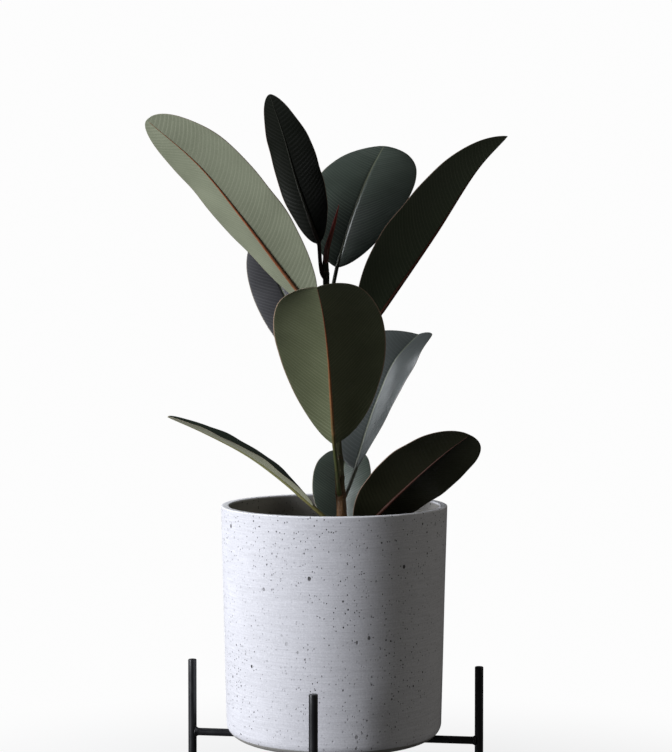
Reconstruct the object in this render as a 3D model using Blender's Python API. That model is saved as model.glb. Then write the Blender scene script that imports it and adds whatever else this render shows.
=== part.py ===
"""Potted rubber plant in a concrete cylinder pot on a four-post steel stand.

Metres, +Z up. The pot's axis is the Z axis and the floor is z = 0. The plant
is described in pot coordinates, whose zero height is the pot's flat base, and
main() lifts the pot, its soil and the plant on to the stand.
"""

import math

import bmesh
import bpy
import numpy as np
from mathutils import Vector

# ---------------------------------------------------------------- dimensions
GAP = 0.0003                 # between pieces that touch in the real object

POT_BASE_Z = 0.170           # height of the pot's base above the floor
POT_TOP_RADIUS = 0.120
POT_FOOT_RADIUS = 0.1143     # outer radius where the bottom corner starts
POT_HEIGHT = 0.243
POT_WALL = 0.008
POT_FLOOR = 0.014
POT_CORNER = 0.013           # radius of the rounded bottom corner
POT_RIM_BEVEL = 0.0009
POT_SIDES = 64
DRAIN_RADIUS = 0.011
PLUG_HEAD_RADIUS = 0.015
PLUG_HEAD = 0.003

SOIL_TOP = 0.188             # at the pot's wall
SOIL_CROWN = 0.003           # how much the soil rises towards the stem
STEM_HOLE_BOTTOM = 0.150

POST_CIRCLE = 0.154          # radius of the circle that the posts stand on
POST_RADIUS = 0.0045
POST_TOP = POT_BASE_Z + 0.074
POST_BEVEL = 0.0006
BAR_RADIUS = 0.004
BAR_HEIGHT = POT_BASE_Z - GAP - BAR_RADIUS
STAND_TURN = math.radians(-7.5)
STAND_SIDES = 20
FOOT_RADIUS = 0.0062
FOOT_HEIGHT = 0.016
FOOT_SOLE = 0.003

PETIOLE_RADIUS = 0.0021
BLADE_THICKNESS = 0.0012
BLADE_TIP_HALF_WIDTH = 0.0012
MIDRIB_HALF_WIDTH = 0.0018
MIDRIB_DEPTH = 0.0014        # how far the midrib stands out under the blade
PETIOLE_START = 0.004        # the petiole's first stretch, straight out
PETIOLE_STATIONS = 7
BLADE_STATIONS = 18
STEM_SIDES = 12
STEM_STATIONS = 18
BUD_STATIONS = 9

# The stem's centre line: (x, y, height, radius), from in the soil to the bud.
STEM = [
    (0.011, 0.000, 0.152, 0.0062),
    (0.010, 0.000, 0.200, 0.0058),
    (0.0075, 0.000, 0.245, 0.0052),
    (0.004, 0.000, 0.300, 0.0046),
    (-0.004, 0.000, 0.400, 0.0040),
    (-0.0085, 0.000, 0.480, 0.0034),
    (-0.0090, 0.000, 0.500, 0.0031),
]
# The sheath that wraps the next leaf: (x, y, height, radius).
BUD = [
    (-0.0090, 0.000, 0.5003, 0.0032),
    (-0.0078, 0.000, 0.5120, 0.0030),
    (-0.0035, 0.000, 0.5280, 0.0024),
    (0.0010, 0.000, 0.5440, 0.0018),
    (0.0050, 0.000, 0.5610, 0.0006),
]

# One entry for each leaf. node is the height on the stem where it grows;
# petiole holds points on the way to the blade; midrib runs from the blade's
# base to its tip. faces is the way the upper surface looks, at the base and at
# the tip. folds are how far the two halves rise from flat, in degrees: right
# half and left half as seen from the stem with the upper surface on top, first
# at the base, then at the tip. fullness shapes each half's outline at base and
# tip, and halves, where it is given, is each half's own share of the width.
LEAVES = {
    "leaf_upper_left": {
        "node": 0.405,
        "petiole": [(-0.013, -0.020, 0.421)],
        "midrib": [(-0.025, -0.035, 0.453), (-0.057, -0.050, 0.495), (-0.092, -0.070, 0.541),
                   (-0.135, -0.090, 0.593), (-0.186, -0.105, 0.637)],
        "faces": [(0.60, 0.60, 0.50), (0.50, 0.65, 0.60)],
        "width": 0.090,
        "folds": [(27, 17), (22, 7)],
        "fullness": [(0.50, 0.47), (0.50, 0.50)],
        "halves": (1.00, 1.10),
    },
    "leaf_top_centre": {
        "node": 0.484,
        "petiole": [],
        "midrib": [(-0.016, 0.000, 0.520), (-0.027, 0.008, 0.550), (-0.040, 0.010, 0.588),
                   (-0.052, 0.000, 0.630), (-0.067, -0.020, 0.674)],
        "faces": [(0.60, 0.80, 0.00), (0.60, 0.80, 0.10)],
        "width": 0.062,
        "folds": [(16, 16), (6, 6)],
        "fullness": [(0.60, 0.60), (0.60, 0.60)],
    },
    "leaf_top_back": {
        "node": 0.458,
        "petiole": [],
        "midrib": [(0.003, 0.015, 0.495), (0.014, 0.038, 0.534), (0.026, 0.070, 0.570),
                   (0.040, 0.110, 0.605), (0.057, 0.155, 0.639)],
        "faces": [(0.00, -0.80, 0.50), (0.00, -0.80, 0.60)],
        "width": 0.112,
        "folds": [(4, 14), (-16, 6)],
        "fullness": [(0.60, 0.42), (0.60, 0.42)],
    },
    "leaf_upper_right": {
        "node": 0.375,
        "petiole": [(0.012, 0.000, 0.402)],
        "midrib": [(0.036, 0.000, 0.428), (0.060, 0.001, 0.462), (0.108, 0.010, 0.531),
                   (0.154, 0.020, 0.601), (0.186, 0.030, 0.636)],
        "faces": [(-0.71, 0.52, 0.49), (-0.71, 0.52, 0.49)],
        "width": 0.108,
        "folds": [(31, 31), (31, 31)],
        "fullness": [(0.60, 0.85), (0.50, 0.80)],
    },
    "leaf_left_back": {
        "node": 0.360,
        "petiole": [],
        "midrib": [(-0.015, 0.010, 0.388), (-0.034, 0.030, 0.423), (-0.052, 0.050, 0.461),
                   (-0.068, 0.070, 0.496), (-0.082, 0.090, 0.534)],
        "faces": [(0.00, -0.85, 0.50), (0.00, -0.85, 0.50)],
        "width": 0.070,
        "folds": [(12, 5), (12, 5)],
        "fullness": [(0.55, 0.55), (0.55, 0.55)],
    },
    "leaf_front": {
        "node": 0.252,
        "petiole": [(0.003, -0.012, 0.281)],
        "midrib": [(0.000, -0.030, 0.309), (-0.003, -0.061, 0.357), (-0.006, -0.101, 0.404),
                   (-0.011, -0.145, 0.446), (-0.016, -0.180, 0.469)],
        "faces": [(0.00, 0.80, 0.60), (0.00, 0.80, 0.60)],
        "width": 0.112,
        "folds": [(26, 24), (20, 6)],
        "fullness": [(0.55, 0.54), (0.66, 0.44)],
        "halves": (1.14, 0.97),
    },
    "leaf_middle_right": {
        "node": 0.248,
        "petiole": [],
        "midrib": [(0.023, 0.020, 0.279), (0.033, 0.038, 0.312), (0.046, 0.060, 0.348),
                   (0.068, 0.095, 0.394), (0.096, 0.130, 0.423)],
        "faces": [(-0.60, -0.60, 0.50), (-0.60, -0.60, 0.50)],
        "width": 0.106,
        "folds": [(24, 26), (18, 11)],
        "fullness": [(0.60, 0.26), (0.65, 0.46)],
        "halves": (1.18, 1.03),
    },
    "leaf_lower_left": {
        "node": 0.215,
        "petiole": [(-0.008, -0.002, 0.228)],
        "midrib": [(-0.023, -0.005, 0.242), (-0.048, -0.009, 0.265), (-0.090, -0.012, 0.296),
                   (-0.136, -0.014, 0.320), (-0.175, -0.015, 0.337)],
        "faces": [(0.35, 0.00, 0.90), (0.35, 0.00, 0.90)],
        "width": 0.086,
        "folds": [(13, 11), (9, 7)],
        "fullness": [(0.52, 0.42), (0.52, 0.48)],
    },
    "leaf_lower_right": {
        "node": 0.200,
        "petiole": [],
        "midrib": [(0.029, -0.022, 0.216), (0.051, -0.036, 0.242), (0.086, -0.065, 0.279),
                   (0.115, -0.090, 0.307), (0.135, -0.110, 0.324)],
        "faces": [(-0.20, 0.75, 0.50), (-0.20, 0.75, 0.50)],
        "width": 0.086,
        "folds": [(10, 10), (0, 0)],
        "fullness": [(0.50, 0.42), (0.50, 0.42)],
    },
    "leaf_lower_back": {
        "node": 0.200,
        "petiole": [],
        "midrib": [(0.007, 0.028, 0.210), (0.006, 0.060, 0.229), (0.008, 0.095, 0.250),
                   (0.011, 0.135, 0.272), (0.015, 0.178, 0.288)],
        "faces": [(0.00, -0.40, 0.90), (0.00, -0.30, 0.90)],
        "width": 0.068,
        "folds": [(20, 20), (12, 12)],
        "fullness": [(0.50, 0.50), (0.50, 0.50)],
    },
}


# ----------------------------------------------------------------- materials
def principled(name, colour, roughness, metallic=0.0):
    """A new Principled material with one flat colour."""
    material = bpy.data.materials.new(name)
    material.use_nodes = True
    shader = material.node_tree.nodes["Principled BSDF"]
    shader.inputs["Base Color"].default_value = (*colour, 1.0)
    shader.inputs["Roughness"].default_value = roughness
    shader.inputs["Metallic"].default_value = metallic
    material.diffuse_color = (*colour, 1.0)
    return material


# -------------------------------------------------------------- mesh helpers
def mesh_object(name, bm, material, lift=0.0):
    """Turn a bmesh into an object with outward faces and one material."""
    bmesh.ops.recalc_face_normals(bm, faces=bm.faces)
    mesh = bpy.data.meshes.new(name)
    bm.to_mesh(mesh)
    bm.free()
    obj = bpy.data.objects.new(name, mesh)
    obj.location.z = lift
    obj.data.materials.append(material)
    bpy.context.scene.collection.objects.link(obj)
    return obj


def revolve(name, profile, sides, material, place=(0.0, 0.0), lift=0.0):
    """A closed solid from a closed outline of (radius, height) points."""
    bm = bmesh.new()
    rings = []
    for radius, height in profile:
        if radius == 0.0:
            rings.append([bm.verts.new((place[0], place[1], height))])
            continue
        ring = []
        for side in range(sides):
            angle = 2.0 * math.pi * side / sides
            x = place[0] + radius * math.cos(angle)
            y = place[1] + radius * math.sin(angle)
            ring.append(bm.verts.new((x, y, height)))
        rings.append(ring)
    for lower, upper in zip(rings, rings[1:] + rings[:1]):
        if len(lower) == 1 and len(upper) == 1:
            continue
        for side in range(sides):
            after = (side + 1) % sides
            corners = [lower[side % len(lower)], lower[after % len(lower)],
                       upper[after % len(upper)], upper[side % len(upper)]]
            bm.faces.new(list(dict.fromkeys(corners)))
    return mesh_object(name, bm, material, lift)


def loft(name, loops, material, lift=0.0):
    """A closed solid through loops of points, with a flat cap at each end."""
    bm = bmesh.new()
    rings = [[bm.verts.new(point) for point in loop] for loop in loops]
    count = len(rings[0])
    for lower, upper in zip(rings, rings[1:]):
        for index in range(count):
            after = (index + 1) % count
            bm.faces.new((lower[index], lower[after], upper[after], upper[index]))
    bm.faces.new(rings[0][::-1])
    bm.faces.new(rings[-1])
    return mesh_object(name, bm, material, lift)


def rod(name, start, end, radius, bevel, sides, material):
    """A straight round rod between two points, with bevelled ends."""
    start, end = Vector(start), Vector(end)
    along = (end - start).normalized()
    across = along.orthogonal().normalized()
    other = along.cross(across)
    stations = [(start, radius - bevel), (start + along * bevel, radius),
                (end - along * bevel, radius), (end, radius - bevel)]
    loops = []
    for centre, size in stations:
        loops.append([centre + size * (math.cos(angle) * across + math.sin(angle) * other)
                      for angle in (2.0 * math.pi * side / sides for side in range(sides))])
    return loft(name, loops, material)


def arc(centre, radius, start_degrees, end_degrees, steps):
    """Points on an arc in the (radius, height) plane, both ends included."""
    points = []
    for step in range(steps + 1):
        angle = math.radians(start_degrees + (end_degrees - start_degrees) * step / steps)
        points.append((centre[0] + radius * math.cos(angle), centre[1] + radius * math.sin(angle)))
    return points


# -------------------------------------------------------------- curve helpers
def unit(vectors):
    return vectors / np.linalg.norm(vectors, axis=-1, keepdims=True)


def smooth_path(points, shares):
    """Points at shares, 0 to 1, of the length of a smooth curve through points."""
    points = np.asarray(points, float)
    chords = np.sqrt(np.linalg.norm(np.diff(points[:, :3], axis=0), axis=1))
    slopes = np.diff(points, axis=0) / chords[:, None]
    weights = (chords[:-1] / (chords[:-1] + chords[1:]))[:, None]
    inner = slopes[:-1] * (1.0 - weights) + slopes[1:] * weights
    tangents = np.vstack([slopes[:1], inner, slopes[-1:]])
    t = np.linspace(0.0, 1.0, 24, endpoint=False)[:, None]
    pieces = []
    for index, chord in enumerate(chords):
        pieces.append((2 * t**3 - 3 * t**2 + 1) * points[index]
                      + (3 * t**2 - 2 * t**3) * points[index + 1]
                      + (t**3 - 2 * t**2 + t) * chord * tangents[index]
                      + (t**3 - t**2) * chord * tangents[index + 1])
    fine = np.vstack(pieces + [points[-1:]])
    steps = np.linalg.norm(np.diff(fine[:, :3], axis=0), axis=1)
    run = np.concatenate([[0.0], np.cumsum(steps)])
    return np.stack([np.interp(shares * run[-1], run, column) for column in fine.T], axis=-1)


def stem_at(height):
    """The stem's centre and radius at a height."""
    table = np.array(STEM)
    values = [np.interp(height, table[:, 2], table[:, column]) for column in (0, 1, 3)]
    return np.array([values[0], values[1], height]), values[2]


def tube_loops(points, sides):
    """Level rings round a path of (x, y, height, radius) points."""
    loops = []
    for x, y, height, radius in points:
        loops.append([(x + radius * math.cos(angle), y + radius * math.sin(angle), height)
                      for angle in (2.0 * math.pi * side / sides for side in range(sides))])
    return loops


# ------------------------------------------------------------------- the leaf
def half_width(shape, along, half):
    """The width of one half of the blade at a share of its length, 0 to 1."""
    base, tip = shape["fullness"][half]
    peak = base / (base + tip)
    curve = along**base * (1.0 - along)**tip / (peak**base * (1.0 - peak)**tip)
    return 0.5 * shape["width"] * shape.get("halves", (1.0, 1.0))[half] * curve


def leaf_frames(path, faces):
    """Sideways and upper-surface directions along a path."""
    forward = unit(np.gradient(path, axis=0))
    sideways = unit(np.cross(forward, faces))
    return sideways, np.cross(sideways, forward)


def blade_loop(centre, sideways, normal, widths, folds):
    """One closed section of the blade: six points above, six below."""
    half = BLADE_THICKNESS / 2.0
    left, right = widths
    rib = min(MIDRIB_HALF_WIDTH, 0.35 * min(widths))
    bulge = min(MIDRIB_DEPTH, 0.6 * min(widths))
    offsets = (-left, -0.55 * left, -rib, rib, 0.55 * right, right)
    edge = 0.4 * half
    above = [(offset, height) for offset, height in zip(offsets, (edge, half, half, half, half, edge))]
    below = [(offset, -height) for offset, height
             in zip(offsets, (edge, half, half + bulge, half + bulge, half, edge))]
    loop = []
    for offset, height in above + below[::-1]:
        fold = math.radians(folds[0] if offset < 0 else folds[1])
        across = offset * math.cos(fold)
        rise = abs(offset) * math.sin(fold)
        loop.append(centre + across * sideways + (rise + height) * normal)
    return loop


def petiole_loop(centre, sideways, normal):
    """One round section of the petiole, with as many points as a blade's."""
    angles = [math.radians(165 - 30 * step) for step in range(12)]
    return [centre + PETIOLE_RADIUS * (math.cos(angle) * sideways + math.sin(angle) * normal)
            for angle in angles]


def build_leaf(name, shape, material):
    """Petiole, midrib and blade of one leaf as a single closed body."""
    root, stem_radius = stem_at(shape["node"])
    on_the_way = shape["petiole"] + [shape["midrib"][0]]
    outward = np.array([on_the_way[0][0] - root[0], on_the_way[0][1] - root[1], 0.0])
    outward = unit(outward)
    start = root + (stem_radius + GAP) * outward
    clear = start + PETIOLE_START * outward
    bend = smooth_path([clear] + on_the_way, np.linspace(0.0, 1.0, PETIOLE_STATIONS - 1))
    blade_shares = 0.5 - 0.5 * np.cos(np.linspace(0.0, math.pi, BLADE_STATIONS + 1))
    blade = smooth_path(shape["midrib"], blade_shares)
    path = np.vstack([start, bend, blade[1:]])
    along = np.concatenate([np.zeros(PETIOLE_STATIONS), blade_shares[1:]])
    base_face, tip_face = np.array(shape["faces"], float)
    faces = base_face + along[:, None] * (tip_face - base_face)
    sideways, normal = leaf_frames(path, faces)
    base_folds, tip_folds = np.array(shape["folds"], float)
    loops = []
    for index, share in enumerate(along):
        section = (path[index], sideways[index], normal[index])
        if index < PETIOLE_STATIONS:
            loops.append(petiole_loop(*section))
            continue
        widths = [max(half_width(shape, share, half), BLADE_TIP_HALF_WIDTH) for half in (0, 1)]
        loops.append(blade_loop(*section, widths, base_folds + share * (tip_folds - base_folds)))
    return loft(name, loops, material, POT_BASE_Z)


# ----------------------------------------------------------- pot and its soil
def build_pot(material):
    inner = POT_TOP_RADIUS - POT_WALL
    inner_foot = POT_FOOT_RADIUS - POT_WALL
    corner = (POT_FOOT_RADIUS - POT_CORNER, POT_CORNER)
    profile = [(DRAIN_RADIUS, 0.0)]
    profile += arc(corner, POT_CORNER, -90, 0, 6)
    profile += [(POT_TOP_RADIUS, POT_HEIGHT - POT_RIM_BEVEL),
                (POT_TOP_RADIUS - POT_RIM_BEVEL, POT_HEIGHT),
                (inner + POT_RIM_BEVEL, POT_HEIGHT),
                (inner, POT_HEIGHT - POT_RIM_BEVEL),
                (inner_foot, POT_FLOOR + 0.004),
                (inner_foot - 0.004, POT_FLOOR),
                (DRAIN_RADIUS, POT_FLOOR)]
    return revolve("pot", profile, POT_SIDES, material, lift=POT_BASE_Z)


def build_drain_plug(material):
    """A stopper that sits in the drain hole from inside."""
    shank = DRAIN_RADIUS - GAP
    top = POT_FLOOR + GAP + PLUG_HEAD
    profile = [(0.0, 0.002), (shank - 0.001, 0.002), (shank, 0.003),
               (shank, POT_FLOOR + GAP), (PLUG_HEAD_RADIUS, POT_FLOOR + GAP),
               (PLUG_HEAD_RADIUS, top - 0.001), (PLUG_HEAD_RADIUS - 0.001, top), (0.0, top)]
    return revolve("drain_plug", profile, 32, material, lift=POT_BASE_Z)


def inner_radius_at(height):
    """The pot's inner radius at a height above its floor."""
    share = (height - POT_FLOOR - 0.004) / (POT_HEIGHT - POT_RIM_BEVEL - POT_FLOOR - 0.004)
    foot = POT_FOOT_RADIUS - POT_WALL
    return foot + (POT_TOP_RADIUS - POT_WALL - foot) * share


def build_soil(material):
    """The filled pot's soil, with a hole that the stem's foot stands in."""
    side_gap = GAP / math.cos(math.pi / POT_SIDES)
    bottom = POT_FLOOR + 0.004
    over_plug = POT_FLOOR + 2 * GAP + PLUG_HEAD
    stem_x = STEM[0][0]
    outline = [(0.0, over_plug), (PLUG_HEAD_RADIUS + GAP, over_plug),
               (PLUG_HEAD_RADIUS + GAP, POT_FLOOR + GAP),
               (inner_radius_at(bottom) - 0.005, POT_FLOOR + GAP),
               (inner_radius_at(bottom) - side_gap, bottom + GAP),
               (inner_radius_at(SOIL_TOP) - side_gap, SOIL_TOP),
               (0.060, SOIL_TOP + 0.6 * SOIL_CROWN),
               (0.0, SOIL_TOP + SOIL_CROWN)]
    soil = revolve("potting_soil", outline, POT_SIDES, material, lift=POT_BASE_Z)
    hole_points = [(x, y, height, radius + GAP) for x, y, height, radius in STEM[:2]]
    hole_points[0] = (stem_x, 0.0, STEM_HOLE_BOTTOM, STEM[0][3] + GAP)
    hole = loft("stem_hole", tube_loops(hole_points, STEM_SIDES), material, POT_BASE_Z)
    cut = soil.modifiers.new("stem_hole", "BOOLEAN")
    cut.operation = "DIFFERENCE"
    cut.object = hole
    bpy.context.view_layer.update()
    evaluated = soil.evaluated_get(bpy.context.evaluated_depsgraph_get())
    mesh = bpy.data.meshes.new_from_object(evaluated)
    soil.modifiers.clear()
    soil.data = mesh
    bpy.data.objects.remove(hole, do_unlink=True)
    return soil


# --------------------------------------------------------------- stem and bud
def build_stem(material):
    path = smooth_path(STEM, np.linspace(0.0, 1.0, STEM_STATIONS))
    return loft("main_stem", tube_loops(path, STEM_SIDES), material, POT_BASE_Z)


def build_bud(material):
    path = smooth_path(BUD, np.linspace(0.0, 1.0, BUD_STATIONS))
    return loft("bud_sheath", tube_loops(path, STEM_SIDES), material, POT_BASE_Z)


# ------------------------------------------------------------------ the stand
def post_direction(quarter):
    """Unit direction in plan from the pot's axis to one of the four posts."""
    angle = -math.pi / 2.0 + STAND_TURN + quarter * math.pi / 2.0
    return Vector((math.cos(angle), math.sin(angle), 0.0))


def build_stand(steel, rubber):
    """Four posts, a long crossbar, two short ones, and four foot caps."""
    names = ("front", "right", "rear", "left")
    for quarter, name in enumerate(names):
        foot = post_direction(quarter) * POST_CIRCLE
        bottom = foot + Vector((0.0, 0.0, FOOT_SOLE + GAP))
        top = foot + Vector((0.0, 0.0, POST_TOP))
        rod(f"post_{name}", bottom, top, POST_RADIUS, POST_BEVEL, STAND_SIDES, steel)
        bore = POST_RADIUS + GAP
        cap = [(0.0, 0.0), (FOOT_RADIUS - 0.001, 0.0), (FOOT_RADIUS, 0.001),
               (FOOT_RADIUS, FOOT_HEIGHT - 0.0005), (FOOT_RADIUS - 0.0005, FOOT_HEIGHT),
               (bore, FOOT_HEIGHT), (bore, FOOT_SOLE), (0.0, FOOT_SOLE)]
        revolve(f"foot_{name}", cap, STAND_SIDES, rubber, place=(foot.x, foot.y))
    level = Vector((0.0, 0.0, BAR_HEIGHT))
    reach = POST_CIRCLE - POST_RADIUS - GAP
    right, rear = post_direction(1), post_direction(2)
    bevel = 0.0001
    rod("crossbar_long", level - right * reach, level + right * reach, BAR_RADIUS, bevel,
        STAND_SIDES, steel)
    inner = BAR_RADIUS + GAP
    for name, way in (("front", -rear), ("rear", rear)):
        rod(f"crossbar_{name}", level + way * inner, level + way * reach, BAR_RADIUS, bevel,
            STAND_SIDES, steel)


def main():
    for obj in list(bpy.data.objects):
        bpy.data.objects.remove(obj, do_unlink=True)
    concrete = principled("cast_concrete", (0.52, 0.53, 0.53), 0.85)
    steel = principled("black_powder_coat", (0.012, 0.012, 0.014), 0.35)
    rubber = principled("black_rubber", (0.015, 0.015, 0.015), 0.8)
    soil = principled("potting_soil", (0.035, 0.022, 0.014), 0.95)
    bark = principled("young_bark", (0.16, 0.10, 0.05), 0.6)
    bud = principled("red_sheath", (0.12, 0.012, 0.010), 0.4)
    leaf = principled("leaf_green", (0.022, 0.035, 0.018), 0.25)

    build_pot(concrete)
    build_drain_plug(rubber)
    build_soil(soil)
    build_stem(bark)
    build_bud(bud)
    for name, shape in LEAVES.items():
        build_leaf(name, shape, leaf)
    build_stand(steel, rubber)


main()
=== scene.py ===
"""The looks of a young rubber plant in a cast concrete pot on a black rod stand.

Metres, +Z up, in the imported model's frame: the pot's axis is the Z axis and
the floor is z = 0. Every new piece is a surface worked out on a grid of two
parameters, or a ring profile carried along a path.
"""
import math

import bpy
import numpy as np
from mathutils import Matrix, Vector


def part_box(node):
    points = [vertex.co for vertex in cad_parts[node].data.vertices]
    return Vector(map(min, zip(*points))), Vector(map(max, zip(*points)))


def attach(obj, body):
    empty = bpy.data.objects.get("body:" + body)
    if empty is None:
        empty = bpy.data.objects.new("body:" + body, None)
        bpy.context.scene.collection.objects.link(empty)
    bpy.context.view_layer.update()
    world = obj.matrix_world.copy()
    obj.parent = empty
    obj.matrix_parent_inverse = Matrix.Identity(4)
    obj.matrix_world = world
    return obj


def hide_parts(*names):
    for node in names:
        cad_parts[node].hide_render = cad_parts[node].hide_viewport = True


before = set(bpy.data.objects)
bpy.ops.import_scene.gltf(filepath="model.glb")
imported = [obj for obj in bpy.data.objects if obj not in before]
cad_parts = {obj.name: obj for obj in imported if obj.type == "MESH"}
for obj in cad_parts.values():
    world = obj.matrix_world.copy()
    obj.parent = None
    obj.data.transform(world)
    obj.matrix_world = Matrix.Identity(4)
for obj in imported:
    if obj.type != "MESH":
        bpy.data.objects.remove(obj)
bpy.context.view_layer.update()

# ---- driving values
POT_BASE_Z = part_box("pot")[0].z
POT_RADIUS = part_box("pot")[1].x
POT_RIM_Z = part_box("pot")[1].z
SOIL_TOP_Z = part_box("potting_soil")[1].z
POT_WALL = 0.008
POT_INNER_RADIUS = POT_RADIUS - POT_WALL
POT_TAPER = 0.0057           # how much narrower the pot is at its foot
POT_CORNER = 0.013
POT_FLOOR = 0.014
RIM_ROUND = 0.0011
DRAIN_RADIUS = 0.011

POST_RADIUS = 0.0045
BAR_RADIUS = 0.004
WELD_FLARE = 0.0017
WELD_REACH = 0.0021
STAND_TURN = math.radians(-7.5)
POST_CIRCLE = 0.154

PETIOLE_RADIUS = 0.0021
STALK_CLEARANCE = 0.0035     # how far outside the stem a stalk turns upward
RIB_TIP_RADIUS = 0.00022
BLADE_THICKNESS = 0.001
BLADE_TIP_HALF_WIDTH = 0.00035
BLADE_ARCH = 7.0
GROOVE_DEPTH = 0.00055       # of the upper face's groove over the midrib
GROOVE_HALF_WIDTH = 0.0012
VEIN_PITCH_MM = 4.8          # between neighbouring side veins
VEIN_SLANT = 0.35            # how far a side vein leans towards the tip
VEIN_BEND = 0.009           # and how much more so near the margin, per mm

# The stem's centre line: (x, y, height over the pot's base, radius).
STEM = np.array([
    (0.011, 0.0, 0.152, 0.0062),
    (0.01, 0.0, 0.2, 0.0058),
    (0.0075, 0.0, 0.245, 0.0052),
    (0.004, 0.0, 0.3, 0.0046),
    (-0.004, 0.0, 0.4, 0.004),
    (-0.0085, 0.0, 0.48, 0.0034),
    (-0.009, 0.0, 0.5, 0.0031),
])
BUD = np.array([
    (-0.009, 0.0, 0.499, 0.0031),
    (-0.0078, 0.0, 0.512, 0.003),
    (-0.0035, 0.0, 0.528, 0.0024),
    (0.001, 0.0, 0.544, 0.0016),
    (0.005, 0.0, 0.5605, 0.0004),
])
OLD_SCARS = (0.228, 0.272, 0.292, 0.318, 0.34, 0.428, 0.444)

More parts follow.
